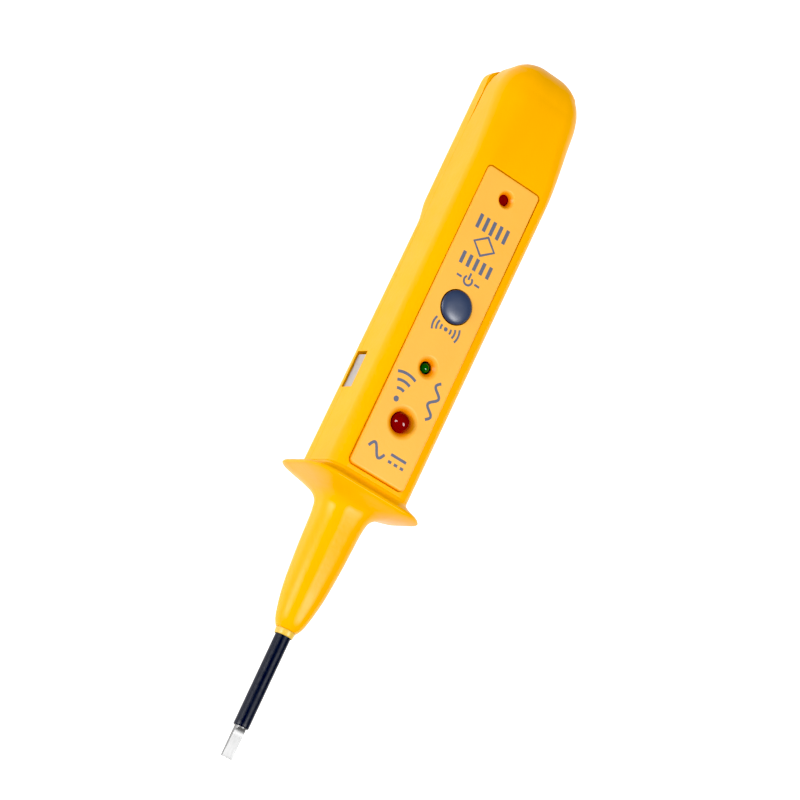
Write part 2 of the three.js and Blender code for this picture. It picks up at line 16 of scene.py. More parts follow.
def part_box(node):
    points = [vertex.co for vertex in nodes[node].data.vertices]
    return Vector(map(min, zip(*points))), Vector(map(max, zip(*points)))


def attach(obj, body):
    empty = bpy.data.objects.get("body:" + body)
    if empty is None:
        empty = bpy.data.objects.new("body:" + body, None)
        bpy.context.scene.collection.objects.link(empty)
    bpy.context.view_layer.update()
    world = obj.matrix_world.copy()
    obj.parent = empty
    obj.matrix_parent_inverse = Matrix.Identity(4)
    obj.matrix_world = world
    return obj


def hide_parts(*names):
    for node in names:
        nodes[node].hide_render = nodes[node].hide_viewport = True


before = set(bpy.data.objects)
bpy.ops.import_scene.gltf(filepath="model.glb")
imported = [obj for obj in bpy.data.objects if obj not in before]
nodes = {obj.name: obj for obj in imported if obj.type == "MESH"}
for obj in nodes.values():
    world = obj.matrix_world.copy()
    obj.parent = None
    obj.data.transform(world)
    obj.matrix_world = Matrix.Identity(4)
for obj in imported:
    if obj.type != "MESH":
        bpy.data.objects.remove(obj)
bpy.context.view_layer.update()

MM = 0.001
blade_low, blade_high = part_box("blade")
TIP = 3.1  # station of the blade's tip
DATUM_X = blade_high.x / MM + TIP
AXIS_Z = (blade_low.z + blade_high.z) / 2 / MM

# Dimensions, the same as in the CAD -----------------------------------------------------------------
WALL = 1.6
PARTING = -3.4  # height of the joint between the front shell and the rear cover
BODY_START, BODY_WIDE_AT = 75.36, 162
BODY_HALF = (11.85, 12.0)  # half width at the guard and at the widest place
BODY_TOP = (9.4, 10.4)
WAIST = (-9.5, -8.3)  # height of the back at the guard and where the battery hump starts
HUMP_START, HUMP_RUN, HUMP_BOTTOM = 140.5, 7.0, -10.1
HEAD_START, HEAD_END, HEAD_POWER = 176.35, 189.55, 2.38
HEAD_MID, HEAD_CHIN, HEAD_TOP = -0.37, 3.6, 8.45
DROOP_START, DROOP_END, DROOP_POWER = 157, 180.6, 1.55
CORNER, HEAD_CORNER, HEAD_CORNER_RUN = 4.2, 6.5, 21
COVER_ROUND, COVER_END, COVER_POWER = 182.0, 185.0, 2.6
COVER_SIDE_START, COVER_SIDE_END, COVER_SIDE_POWER = 180.5, 185.9, 2.8
GROOVE_START, GROOVE_STEP, GROOVE_END = 167.5, 182, 186.2
GROOVE_LIFT, GROOVE_STEP_LIFT, GROOVE_DEPTH = 0.45, 0.7, 1.2
PLATE_START, PLATE_END, PLATE_HALF, PLATE_TOP, PLATE_BOTTOM = 76.7, 157.9, 8.1, 10.5, 8.9
FACE_Y = -0.4  # the face plate and what it carries sit a little to one side
WINDOW = (95.1, 104.8, -4.6, 0.3)
VOLTAGE_LED = {"at": 91.4, "diameter": 5, "height": 8.6, "dome": 11.7, "recess": 8.8, "throat": 5.1}
CONTINUITY_LED = {"at": 106.2, "diameter": 3, "height": 5.3, "dome": 9.7, "recess": 6.3, "throat": 3.1}
DETECTOR_LED = {"at": 152.4, "diameter": 3, "height": 5.3, "dome": 8.75, "recess": 5, "throat": 2.7}
LAMPS = (VOLTAGE_LED, CONTINUITY_LED, DETECTOR_LED)
BUTTON_AT, BUTTON_R, BUTTON_CROWN, BUTTON_HOLE = 122.7, 4.2, 11.7, 4.36
BOARD_TOP = 2.7
SCREWS_AT, SCREW_Y = (100.8, 139.5), 6.6
BATTERY_START, BATTERY_HEIGHT = 150.9, -3.8
PRINT_SUNK, PRINT_PROUD = 0.02, 0.018


# Geometry helpers -----------------------------------------------------------------------------------
def place(station, y, height):
    return ((DATUM_X - station) * MM, y * MM, (height + AXIS_Z) * MM)


def mix(a, b, t):
    return a + (b - a) * min(1.0, max(0.0, t))


def ease(t):
    t = min(1.0, max(0.0, t))
    return t * t * (3 - 2 * t)


def mesh_object(name, points, faces):
    """An object from (station, y, height) points; its normals face outwards."""
    mesh = bpy.data.meshes.new(name)
    mesh.from_pydata([place(*p) for p in points], [], faces)
    bm = bmesh.new()
    bm.from_mesh(mesh)
    bmesh.ops.recalc_face_normals(bm, faces=bm.faces)
    bm.to_mesh(mesh)
    bm.free()
    obj = bpy.data.objects.new(name, mesh)
    bpy.context.scene.collection.objects.link(obj)
    return obj


def loft(name, rings):
    """A closed skin through rings of equally many points, flat at both ends."""
    count = len(rings[0])
    points = [p for ring in rings for p in ring]
    faces = []
    for i in range(len(rings) - 1):
        for j in range(count):
            a, b = i * count + j, i * count + (j + 1) % count
            faces.append((a, b, b + count, a + count))
    faces.append(tuple(range(count)))
    faces.append(tuple(range(len(points) - count, len(points))))
    return mesh_object(name, points, faces)


def ring_at(station, half, top, bottom, radius_top, radius_bottom=None, steps=14):
    """A rounded rectangle across the axis."""
    tall = (top - bottom) / 2
    rt = min(radius_top, 0.985 * half, 0.985 * tall)
    rb = min(radius_top if radius_bottom is None else radius_bottom, 0.985 * half, 0.985 * tall)
    corners = (
        (half - rt, top - rt, rt), (-half + rt, top - rt, rt),
        (-half + rb, bottom + rb, rb), (half - rb, bottom + rb, rb),
    )
    ring = []
    for k, (y, z, r) in enumerate(corners):
        for i in range(steps + 1):
            angle = (k + i / steps) * math.pi / 2
            ring.append((station, y + r * math.cos(angle), z + r * math.sin(angle)))
    return ring


def block(start, end, y0, y1, z0, z1):
    rings = [[(s, y0, z0), (s, y1, z0), (s, y1, z1), (s, y0, z1)] for s in (start, end)]
    return loft("tool", rings)


def upright(station, profile, sides=96, y=FACE_Y):
    """A turned piece standing on the face plate's normal; the profile is (height, radius) pairs."""
    rings = [
        [
            (station + r * math.cos(a), y + r * math.sin(a), height)
            for a in (2 * math.pi * i / sides for i in range(sides))
        ]
        for height, r in ((h, max(r, 1e-3)) for h, r in profile)
    ]
    return loft("tool", rings)


def turned(name, profile, sides=96, height=0.0):
    """A turned piece about the tester's axis; the profile is (station, radius) pairs.
    A profile that ends where it began makes a ring, and any other a solid."""
    rings = [
        [
            (station, r * math.cos(a), height + r * math.sin(a))
            for a in (2 * math.pi * i / sides for i in range(sides))
        ]
        for station, r in ((s, max(r, 1e-3)) for s, r in profile)
    ]
    if profile[0] != profile[-1]:
        return loft(name, rings)
    points = [p for ring in rings[:-1] for p in ring]
    faces = []
    turns = len(rings) - 1
    for i in range(turns):
        here, after = i * sides, (i + 1) % turns * sides
        for j in range(sides):
            k = (j + 1) % sides
            faces.append((here + j, here + k, after + k, after + j))
    return mesh_object(name, points, faces)


def combine(target, tools, how="DIFFERENCE"):
    """Applies one boolean after another to the target and removes the tools."""
    for tool in tools:
        modifier = target.modifiers.new("cut", "BOOLEAN")
        modifier.operation = how
        modifier.solver = "MANIFOLD"
        modifier.object = tool
    depsgraph = bpy.context.evaluated_depsgraph_get()
    mesh = bpy.data.meshes.new_from_object(target.evaluated_get(depsgraph))
    target.modifiers.clear()
    target.data = mesh
    for tool in tools:
        bpy.data.objects.remove(tool)
    return target


def smooth(obj, angle=32.0, weighted=True):
    """Smooth shading up to an angle between faces, with the large faces kept flat."""
    mesh = obj.data
    mesh.polygons.foreach_set("use_smooth", [True] * len(mesh.polygons))
    mesh.set_sharp_from_angle(angle=math.radians(angle))
    if weighted:
        modifier = obj.modifiers.new("normals", "WEIGHTED_NORMAL")
        modifier.keep_sharp = True
        modifier.weight = 60
    return obj


def spline(points, steps):
    """A smooth line through points of any dimension, by centripetal Catmull-Rom."""
    p = np.array(points, float)
    p = np.vstack([2 * p[0] - p[1], p, 2 * p[-1] - p[-2]])
    t = np.concatenate([[0], np.cumsum(np.linalg.norm(np.diff(p, axis=0), axis=1) ** 0.5)])
    line = []
    for i in range(1, len(p) - 2):
        u = np.linspace(t[i], t[i + 1], steps, endpoint=False)[:, None]
        a = [
            ((t[k + 1] - u) * p[k] + (u - t[k]) * p[k + 1]) / (t[k + 1] - t[k])
            for k in (i - 1, i, i + 1)
        ]
        b = [
            ((t[k + 2] - u) * a[m] + (u - t[k]) * a[m + 1]) / (t[k + 2] - t[k])
            for m, k in ((0, i - 1), (1, i))
        ]
        line.extend((((t[i + 1] - u) * b[0] + (u - t[i]) * b[1]) / (t[i + 1] - t[i])).tolist())
    line.append(p[-2].tolist())
    return line


# The housing's form ---------------------------------------------------------------------------------
def body_share(s):
    return (s - BODY_START) / (BODY_WIDE_AT - BODY_START)


def body_half(s):
    return mix(*BODY_HALF, body_share(s))


def body_top(s):
    droop = min(1, max(0, (s - DROOP_START) / (DROOP_END - DROOP_START))) ** DROOP_POWER
    return mix(mix(*BODY_TOP, body_share(s)), HEAD_TOP, droop)


def back_bottom(s):
    waist = mix(*WAIST, (s - BODY_START) / (HUMP_START - BODY_START))
    return mix(waist, HUMP_BOTTOM, ease((s - HUMP_START) / HUMP_RUN))


def end_share(s, start, end, power=2.0):
    """How much of the section is left on a rounded end: 1 before it starts."""
    return max(0.0, 1 - (max(0.0, s - start) / (end - start)) ** power) ** (1 / power)


def head_share(s, end=HEAD_END):
    return end_share(s, HEAD_START, end, HEAD_POWER)


def front_ring(s, inset, end):
    """The front shell's section. Before the head's end it reaches past the joint, and is cut there."""
    share = max(0.02, head_share(s, end))
    half = (body_half(s) - inset) * share
    top = HEAD_MID + (body_top(s) - HEAD_MID - inset) * share
    bottom = HEAD_MID - (HEAD_CHIN - inset) * share - 8 * ease((share - 0.76) / 0.17)
    radius = mix(CORNER, HEAD_CORNER, ease((s - DROOP_START) / HEAD_CORNER_RUN)) - 0.6 * inset
    return ring_at(s, half, top, bottom, radius * share**0.8)


def rear_ring(s, inset, floor, start, end):
    share = max(0.2, end_share(s, start, end, COVER_POWER))
    side = end_share(s, COVER_SIDE_START, COVER_SIDE_END, COVER_SIDE_POWER)
    half = (body_half(s) - inset) * side
    bottom = PARTING + (back_bottom(s) + floor - PARTING) * mix(0.3, 1, share)
    return ring_at(s, half, 6, bottom, 2, CORNER - 0.6 * inset)


def stations(start, middle, end, step):
    """Even stations up to the middle, then closer and closer ones round the end."""
    straight = list(np.arange(start, middle, step))
    angles = np.linspace(0, math.pi / 2 * 0.965, 40)
    return straight + [middle + (end - middle) * math.sin(a) for a in angles]


def window_tool():
    start, end, low, high = WINDOW
    return block(start, end, -14, -9.3, low, high)


def parting_tool(keep_above):
    """What lies on one side of the joint, with a small chamfer left on the outer edge.
    Near the head the front shell's edge rises into a groove that gives a fingernail a hold."""
    rings = []
    for s in np.arange(70, 191, 0.5):
        edge = body_half(s) * head_share(min(s, 188.5))
        chamfer = 0.05
        if keep_above:
            lift, depth = 0.0, chamfer
            if s < GROOVE_END:
                lift = GROOVE_LIFT * ease((s - GROOVE_START) / 6)
                lift += GROOVE_STEP_LIFT * ease((s - GROOVE_STEP) / 2)
                depth = chamfer + GROOVE_DEPTH * ease((s - GROOVE_START) / 2)
            z = PARTING
            side = [(edge + 1, z + lift + 1 + chamfer), (edge - chamfer, z + lift)]
            side += [(edge - chamfer - depth, z + lift), (edge - chamfer - depth - 0.01, z)]
            far = -30
        else:
            z = PARTING - 0.02
            side = [(edge + 1, z - 1 - chamfer), (edge - chamfer, z)]
            side += [(edge - chamfer - 0.3, z), (edge - chamfer - 0.4, z)]
            far = 30
        half_ring = [(edge + 1, far), *side]
        ring = half_ring + [(-y, height) for y, height in reversed(half_ring)]
        rings.append([(s, y, height) for y, height in ring])
    return loft("tool", rings)


def rounded_outline(start, end, half, corner, steps=10):
    """Points and outward normals of a rounded rectangle in plan."""
    corners = (
        (end - corner, FACE_Y + half - corner, 0), (start + corner, FACE_Y + half - corner, 1),
        (start + corner, FACE_Y - half + corner, 2), (end - corner, FACE_Y - half + corner, 3),
    )
    outline = []
    for s, y, k in corners:
        for i in range(steps + 1):
            a = (k + i / steps) * math.pi / 2
            normal = (math.cos(a), math.sin(a))
            outline.append(((s + corner * normal[0], y + corner * normal[1]), normal))
    dense = []
    for k, (point, normal) in enumerate(outline):
        nxt, next_normal = outline[(k + 1) % len(outline)]
        gap = math.dist(point, nxt)
        pieces = max(1, round(gap / 1.5))
        for i in range(pieces):
            t = i / pieces
            dense.append((
                (mix(point[0], nxt[0], t), mix(point[1], nxt[1], t)),
                (mix(normal[0], next_normal[0], t), mix(normal[1], next_normal[1], t)),
            ))
    return dense


def shell_height(s, y):
    """Height of the front shell's surface beside the face plate."""
    flat = body_half(s) - CORNER
    over = min(CORNER * 0.99, max(0.0, abs(y) - flat))
    return body_top(s) - (CORNER - math.sqrt(CORNER**2 - over**2))


def seat_tool():
    """The opening for the face plate; its edge is rounded where it meets the shell's surface."""
    gap = 0.11
    outline = rounded_outline(PLATE_START - gap, PLATE_END + gap, PLATE_HALF + gap, 1.2 + gap)
    r = 0.1
    profile = [(0.0, None)]
    profile += [(r * (1 - math.cos(a)), r * (math.sin(a) - 1)) for a in np.linspace(0, 1.45, 6)]
    profile += [(r, 1.5)]
    rings = []
    for offset, rise in profile:
        ring = []
        for (s, y), (ns, ny) in outline:
            s1, y1 = s + ns * offset, y + ny * offset
            height = 8.7 if rise is None else shell_height(s1, y1) + rise
            ring.append((s1, y1, max(8.72, height) if rise is not None else height))
        rings.append(ring)
    return loft("tool", rings)


def front_shell():
    outer = [front_ring(s, 0, HEAD_END) for s in stations(BODY_START, HEAD_START, HEAD_END, 1.0)]
    edge = [front_ring(BODY_START, 0.12, HEAD_END)]
    outer[0] = [(s + 0.12, y, z) for s, y, z in outer[0]]
    shell = loft("front_shell_moulding", edge + outer)
    end = HEAD_END - 2.2
    inner = []
    for s in stations(BODY_START - 2, HEAD_START, end, 1.5):
        ring = front_ring(max(s, BODY_START), WALL, end)
        inner.append([(s, y, min(z, 7.9)) for _, y, z in ring])
    tools = [parting_tool(True), loft("tool", inner)]
    combine(shell, tools)
    bosses = [upright(s, [(2.8, 2.3), (8.1, 2.3)], 40, SCREW_Y) for s in SCREWS_AT]
    combine(shell, bosses, "UNION")
    holes = [upright(s, [(BOARD_TOP, 1.1), (6.8, 1.1)], 32, SCREW_Y) for s in SCREWS_AT]
    for dims in LAMPS:
        radius = dims["diameter"] / 2 + 0.25
        holes.append(upright(dims["at"], [(5, radius), (12, radius)]))
    holes.append(upright(BUTTON_AT, [(5, 4.5), (12, 4.5)]))
    combine(shell, [*holes, seat_tool(), window_tool()])
    return smooth(shell)


def rear_cover():
    outer = [rear_ring(s, 0, 0, COVER_ROUND, COVER_END)
             for s in stations(BODY_START, COVER_ROUND, COVER_END - 0.02, 1.0)]
    cover = loft("rear_cover_moulding", outer)
    inner = [rear_ring(s, WALL, 1.0, COVER_ROUND - WALL, COVER_END - 2)
             for s in stations(BODY_START - 2, COVER_ROUND - WALL, COVER_END - 2, 1.5)]
    combine(cover, [parting_tool(False), loft("tool", inner)])
    added = []
    for s in (BATTERY_START + 6, BATTERY_START + 22):
        rib = block(s, s + 1.2, -9.9, 9.9, -9.5, -5.2)
        cradle = turned("tool", [(s - 1, 5.4), (s + 3, 5.4)], 64, BATTERY_HEIGHT)
        added.append(combine(rib, [cradle]))
    for s in (88, 118, 141, 168):
        for side in (-1, 1):
            y = side * (body_half(s) - WALL - 0.6)
            added.append(block(s, s + 5, y - 0.4, y + 0.4, PARTING - 3, PARTING + 1.4))
            middle = y + side / 2
            foot = (middle - 0.7, middle + 0.7, PARTING - 2.99, PARTING - 1)
            added.append(block(s + 0.01, s + 4.99, *foot))
    combine(cover, added, "UNION")
    combine(cover, [window_tool()])
    return smooth(cover)


def nose_cone():
    shank = [(36.15, 2.5), (36.3, 2.66), (37, 3.1), (38.2, 3.6), (40, 4.05), (42.6, 4.55), (46, 5.05),
             (50.5, 5.45), (56, 5.8), (61, 6), (65, 6.2)]
    rows = [(s, h, h, h, h * mix(0.985, 0.82, i / 10)) for i, (s, h) in enumerate(shank)]
    throat, wide, tall, guard_corner = 6.3, 16.8, 11.5, 7
    for s, share in ((67.5, 0.04), (68.6, 0.11), (69.5, 0.22), (70.3, 0.4), (71, 0.6), (71.7, 0.82),
                     (72.2, 0.955), (72.45, 0.99), (72.62, 1.0), (72.8, 0.99)):
        z = mix(throat, tall, share)
        rows.append((s, mix(throat, wide, share), z, z, mix(5.3, guard_corner, share)))
    for s, share in ((73.1, 0.92), (73.4, 0.78), (73.8, 0.52), (74.4, 0.21), (74.9, 0.05), (75.32, 0)):
        rows.append((s, mix(BODY_HALF[0], wide, share), mix(BODY_TOP[0], tall, share),
                     mix(-WAIST[0], tall, share), mix(CORNER, guard_corner, share)))
    rings = [ring_at(s, half, top, -low, radius) for s, half, top, low, radius in spline(rows, 8)]
    nose = loft("nose_and_guard", rings)
    plug = loft("tool", [ring_at(s, 9.6, 7.5, -7.9, 3, steps=6) for s in (74.1, 81)])
    combine(nose, [plug], "UNION")
    hollow = loft("tool", [ring_at(s, 8.1, 6, -6.4, 2, steps=6) for s in (73.1, 82)])
    bore = turned("tool", [(30, 2.15), (90, 2.15)], 64)
    combine(nose, [hollow, bore])
    return smooth(nose)


def face_plate():
    """The plate's upper edge is rounded; each lamp sits in a soft conical recess."""
    outline = rounded_outline(PLATE_START, PLATE_END, PLATE_HALF, 1.2)
    bevel = 0.62
    profile = [(0.0, PLATE_BOTTOM)]
    profile += [(-bevel * (1 - math.cos(a)), PLATE_TOP - bevel * (1 - math.sin(a)))
                for a in np.linspace(0, math.pi / 2, 8)]
    rings = [[(s + ns * offset, y + ny * offset, height) for (s, y), (ns, ny) in outline]
             for offset, height in profile]
    plate = loft("face_plate_moulding", rings)
    tools = []
    for lamp in LAMPS:
        throat, wide = lamp["throat"] / 2, lamp["recess"] / 2
        neck = PLATE_BOTTOM + 0.3
        cone = [(neck + (PLATE_TOP + 0.012 - neck) * (1 - (1 - t) ** 1.7), throat + (wide - throat) * t)
                for t in np.linspace(0, 1, 14)]
        tools.append(upright(lamp["at"], [(8, throat), *cone, (12, wide)]))
    lip = 0.16
    hole = [(PLATE_TOP - lip + lip * math.sin(a), BUTTON_HOLE + lip * (1 - math.cos(a)))
            for a in np.linspace(0, 1.5, 6)]
    tools.append(upright(BUTTON_AT, [(8, BUTTON_HOLE), *hole, (12, BUTTON_HOLE + lip)]))
    combine(plate, tools)
    return smooth(plate, 40)


# Small pieces ---------------------------------------------------------------------------------------
def blade():
    """A round rod with two ground flats; each runs out in an arc just in front of the sleeve."""
    r = 1.45
    rod = turned("blade_ground", [(TIP, r - 0.08), (TIP + 0.08, r), (84, r)], 96)
    tip_half, root_half, ground_to, run_out = 0.35, 0.5, 8.6, 2.1
    wedge = [(TIP - 1, tip_half), (TIP + 0.6, tip_half), (ground_to, root_half)]
    wedge += [(ground_to + run_out * math.sin(a), root_half + (1 - math.cos(a)))
              for a in np.linspace(0.2, 1.5, 12)]
    tools = []
    for side in (-1, 1):
        rings = [[(s, -4, side * z), (s, 4, side * z), (s, 4, side * 5), (s, -4, side * 5)]
                 for s, z in wedge]
        tools.append(loft("tool", rings))
    return smooth(combine(rod, tools), 18)


def blade_sleeve():
    inner, outer = 1.55, 1.925
    profile = [(11, inner), (11, outer - 0.16), (11.06, outer - 0.06), (11.2, outer)]
    profile += [(s, outer) for s in np.arange(12, 57.9, 0.8)]
    profile += [(58, outer), (58, inner), (11, inner)]
    return smooth(turned("blade_insulation", profile), 40, False)


def nose_collar():
    bore = 2.1
    profile = [(34.6, bore), (34.6, 2.15), (34.66, 2.26), (34.8, 2.33), (35.1, 2.36), (36.0, 2.5),
               (36.08, 2.49), (36.1, 2.45), (36.1, bore), (34.6, bore)]
    return smooth(turned("nose_collar_ring", profile), 50, False)


def lamp(name, dims):
    r = dims["diameter"] / 2
    base = dims["dome"] - dims["height"]
    profile = [(base, r + 0.3), (base + 0.08, r + 0.4), (base + 0.8, r + 0.4), (base + 0.9, r + 0.3),
               (base + 0.92, r)]
    centre = dims["dome"] - r
    profile += [(centre + r * math.sin(a), r * math.cos(a)) for a in np.linspace(0, 1.56, 22)]
    if dims is DETECTOR_LED:
        top = dims["dome"] + 0.1
        profile = profile[:5] + [(top - 0.35, r), (top - 0.12, r - 0.1), (top - 0.05, r - 0.3), (top, 0)]
    lens = upright(dims["at"], profile)
    lens.name = name
    if base > BOARD_TOP + 0.25:
        leg = 0.25
        legs = [
            block(s - leg, s + leg, FACE_Y - leg, FACE_Y + leg, BOARD_TOP + 0.05, base + 0.2)
            for s in (dims["at"] - 1.27, dims["at"] + 1.27)
        ]
        combine(lens, legs, "UNION")
    return smooth(lens, 40, False)


def power_button():
    stem, flange = 1.5, 5.2
    low, flange_low, flange_top = 6.6, 6.8, 7.6
    edge = PLATE_TOP + 0.05
    rise = BUTTON_CROWN - edge
    crown = [(edge + rise * math.sin(a), BUTTON_R * math.cos(a) ** 0.8)
             for a in np.linspace(0.02, 1.56, 30)]
    profile = [(low, stem), (flange_low, stem), (flange_low, flange), (flange_top, flange)]
    profile += [(flange_top, BUTTON_R), (edge - 0.05, BUTTON_R), *crown]
    button = upright(BUTTON_AT, profile, 128)
    button.name = "button_cap"
    return smooth(button, 40, False)


def touch_contact():
    start, end, low, high = WINDOW
    outside = -(body_half(start) - WALL) + 0.2
    inside = outside + 0.5
    pad = block(start + 0.25, end - 0.7, -11.5, inside, low + 0.2, high - 0.2)
    pad.name = "touch_contact_strip"
    others = [
        block(start - 1.6, end + 1.6, outside, inside + 0.01, PARTING + 0.4, high + 1),
        block(start + 3, end - 3, outside, inside + 0.02, high, BOARD_TOP + 0.6),
        block(start + 3.01, end - 3.01, outside + 0.01, outside + 2.6,
              BOARD_TOP + 0.15, BOARD_TOP + 0.59),
    ]
    combine(pad, others, "UNION")
    bevel = pad.modifiers.new("edges", "BEVEL")
    bevel.width = 0.18 * MM
    bevel.segments = 3
    bevel.limit_method = "ANGLE"
    return smooth(pad, 40)


# Printed marks: generic symbols as thin films on the plate ------------------------------------------
def stroke(line, width, closed=False):
    """A flat ribbon along a line of (station, y) points, as one outline."""
    p = np.array(line, float)
    step = np.roll(p, -1, 0) - np.roll(p, 1, 0) if closed else np.gradient(p, axis=0)
    normal = np.stack([-step[:, 1], step[:, 0]], 1)
    normal /= np.linalg.norm(normal, axis=1)[:, None]
    left, right = p + normal * width / 2, p - normal * width / 2
    return left, right


def print_ribbons(name, ribbons):
    """Thin films for ribbons (line, width, closed), partly sunk in the plate."""
    points, faces = [], []
    for line, width, closed in ribbons:
        left, right = stroke(line, width, closed)
        count = len(left)
        base = len(points)
        for height in (PLATE_TOP - PRINT_SUNK, PLATE_TOP + PRINT_PROUD):
            for side in (left, right):
                points += [(s, y, height) for s, y in side]
        spans = count if closed else count - 1
        for i in range(spans):
            j = (i + 1) % count
            low_l, low_r, up_l, up_r = (base + k * count for k in range(4))
            faces += [
                (up_l + i, up_l + j, up_r + j, up_r + i), (low_l + i, low_r + i, low_r + j, low_l + j),
                (low_l + i, low_l + j, up_l + j, up_l + i), (low_r + i, up_r + i, up_r + j, low_r + j),
            ]
        if not closed:
            for i in (0, count - 1):
                faces.append((low_l + i, up_l + i, up_r + i, low_r + i))
    return mesh_object(name, points, faces)


def arc(s, y, radius, start, end, steps=24):
    """Points on a circle; angle 0 points at the head, 90 degrees at +Y."""
    angles = np.radians(np.linspace(start, end, steps))
    return [(s + radius * math.cos(a), y + radius * math.sin(a)) for a in angles]


def bars(station, length):
    return [([(station, y), (station + length, y)], 0.98, False)
            for y in np.linspace(-4.55, 3.65, 5)]


def printed_marks():
    """Generic symbols only: level bars, power, field, buzzer, wave, supply and a plain diamond."""
    bold, fine = 0.72, 0.55
    power = [(arc(129.9, -0.6, 1.15, 42, 318), fine, False)]
    power += [([(130.1, -0.6), (131.9, -0.6)], fine, False)]
    power += [([(129.9, y), (129.9, y + 1.5)], fine, False) for y in (-4.1, 1.4)]
    field = [(arc(116.6, -0.5, 0.26, 0, 345), fine, True)]
    for centre in (-90, 90):
        for radius in (1.45, 2.65, 3.85):
            field.append((arc(116.6, -0.5, radius, centre - 26, centre + 26), fine, False))
    wave = [(94.9 + 9.6 * t, 4.6 + 1.05 * math.sin(4 * math.pi * t)) for t in np.linspace(0, 1, 60)]
    buzzer = [(arc(95.6, -4.6, 0.36, 0, 345), bold, True)]
    buzzer += [(arc(95.6, -4.6, radius, -24, 24), bold, False) for radius in (2.6, 4.6, 6.6)]
    diamond = [([(136.8, -0.5), (139.3, -3.6), (141.8, -0.5), (139.3, 2.6)], bold, True)]
    sine = [(82.4 + 1.5 * math.sin(2 * math.pi * t), -6.0 + 4.9 * t) for t in np.linspace(0, 1, 40)]
    supply = [(sine, bold, False), ([(83.3, 0.4), (83.3, 5.0)], bold, False)]
    supply += [([(81.5, y), (81.5, y + 1.0)], bold, False) for y in (0.4, 2.2, 4.0)]
    return {
        "print_bars_head": bars(142.4, 3.7),
        "print_bars_button": bars(132.7, 3.2),
        "print_power": power,
        "print_field": field,
        "print_wave": [(wave, bold, False)],
        "print_buzzer": buzzer,
        "print_diamond": diamond,
        "print_supply": supply,
    }


# Materials ------------------------------------------------------------------------------------------
class Shader:
    """A Principled material whose variation comes from noise in object space; it can also take painted
    shade below a height.
    """

    def __init__(self, name, color, roughness, **values):
        self.material = bpy.data.materials.new(name)
        self.material.use_nodes = True
        self.tree = self.material.node_tree
        self.bsdf = self.tree.nodes["Principled BSDF"]
        self.color = color
        self.bsdf.inputs["Base Color"].default_value = (*color, 1)
        self.bsdf.inputs["Roughness"].default_value = roughness
        for key, value in values.items():
            self.bsdf.inputs[key.replace("_", " ")].default_value = value
        self.coordinates = self.tree.nodes.new("ShaderNodeTexCoord").outputs["Object"]

    def noise(self, scale, detail=3.0, stretch=(1, 1, 1)):
        mapping = self.tree.nodes.new("ShaderNodeMapping")
        mapping.inputs["Scale"].default_value = stretch
        self.tree.links.new(self.coordinates, mapping.inputs["Vector"])
        noise = self.tree.nodes.new("ShaderNodeTexNoise")
        noise.inputs["Scale"].default_value = scale
        noise.inputs["Detail"].default_value = detail
        self.tree.links.new(mapping.outputs["Vector"], noise.inputs["Vector"])
        return noise.outputs["Fac"]

    def ramp(self, source, low, high, at=(0.35, 0.65)):
        """A factor turned into values or colours between low and high."""
        ramp = self.tree.nodes.new("ShaderNodeValToRGB")
        for element, position, value in zip(ramp.color_ramp.elements, at, (low, high)):
            element.position = position
            element.color = (*value, 1) if isinstance(value, tuple) else (value, value, value, 1)
        self.tree.links.new(source, ramp.inputs["Fac"])
        return ramp.outputs["Color"]

    def vary_color(self, source, amount, at=(0.35, 0.65)):
        low = tuple(c * (1 - amount) for c in self.color)
        high = tuple(min(1.0, c * (1 + amount)) for c in self.color)
        self.tree.links.new(self.ramp(source, low, high, at), self.bsdf.inputs["Base Color"])
        return self

    def paint_shade_below(self, color, low, high):
        """Painted shade: a colour below a height that blends up to the material's own at a second
        height.
        """
        split = self.tree.nodes.new("ShaderNodeSeparateXYZ")
        self.tree.links.new(self.coordinates, split.inputs["Vector"])
        span = self.tree.nodes.new("ShaderNodeMapRange")
        for key, value in (("From Min", low), ("From Max", high)):
            span.inputs[key].default_value = (value + AXIS_Z) * MM
        self.tree.links.new(split.outputs["Z"], span.inputs["Value"])
        mixed = self.tree.nodes.new("ShaderNodeMix")
        mixed.data_type = "RGBA"
        mixed.inputs["A"].default_value = (*color, 1)
        socket = self.bsdf.inputs["Base Color"]
        self.tree.links.new(socket.links[0].from_socket, mixed.inputs["B"])
        self.tree.links.new(span.outputs["Result"], mixed.inputs["Factor"])
        self.tree.links.new(mixed.outputs["Result"], socket)
        return self

    def vary_roughness(self, source, low, high, at=(0.35, 0.65)):
        self.tree.links.new(self.ramp(source, low, high, at), self.bsdf.inputs["Roughness"])
        return self

    def bump(self, source, distance, strength=1.0):
        node = self.tree.nodes.new("ShaderNodeBump")
        node.inputs["Strength"].default_value = strength
        node.inputs["Distance"].default_value = distance
        self.tree.links.new(source, node.inputs["Height"])
        previous = self.bsdf.inputs["Normal"].links
        if previous:
            self.tree.links.new(previous[0].from_socket, node.inputs["Normal"])
        self.tree.links.new(node.outputs["Normal"], self.bsdf.inputs["Normal"])
        return self


def moulded(name, color, roughness=0.36, grain=900.0, depth=0.00004, **values):
    """Moulded plastic: faint flow marks, a fine grain and a little handling polish."""
    shader = Shader(name, color, roughness, **values)
    shader.vary_color(shader.noise(55, 4, (1, 2.2, 2.2)), 0.02)
    shader.vary_roughness(shader.noise(160, 5), roughness * 0.88, roughness * 1.14)
    shader.bump(shader.noise(grain, 3), depth)
    return shader


def metal(name, color, roughness, stretch=(1, 1, 1), scale=400.0, depth=0.00002, spread=0.3):
    """Metal whose roughness and grain may run along the axis, as grinding or rolling leaves them."""
    shader = Shader(name, color, roughness, Metallic=1.0)
    shader.vary_color(shader.noise(90, 3), 0.04)
    low, high = roughness * (1 - spread), roughness * (1 + spread)
    shader.vary_roughness(shader.noise(scale, 4, stretch), low, high)
    shader.bump(shader.noise(scale * 2, 3, stretch), depth)
    return shader


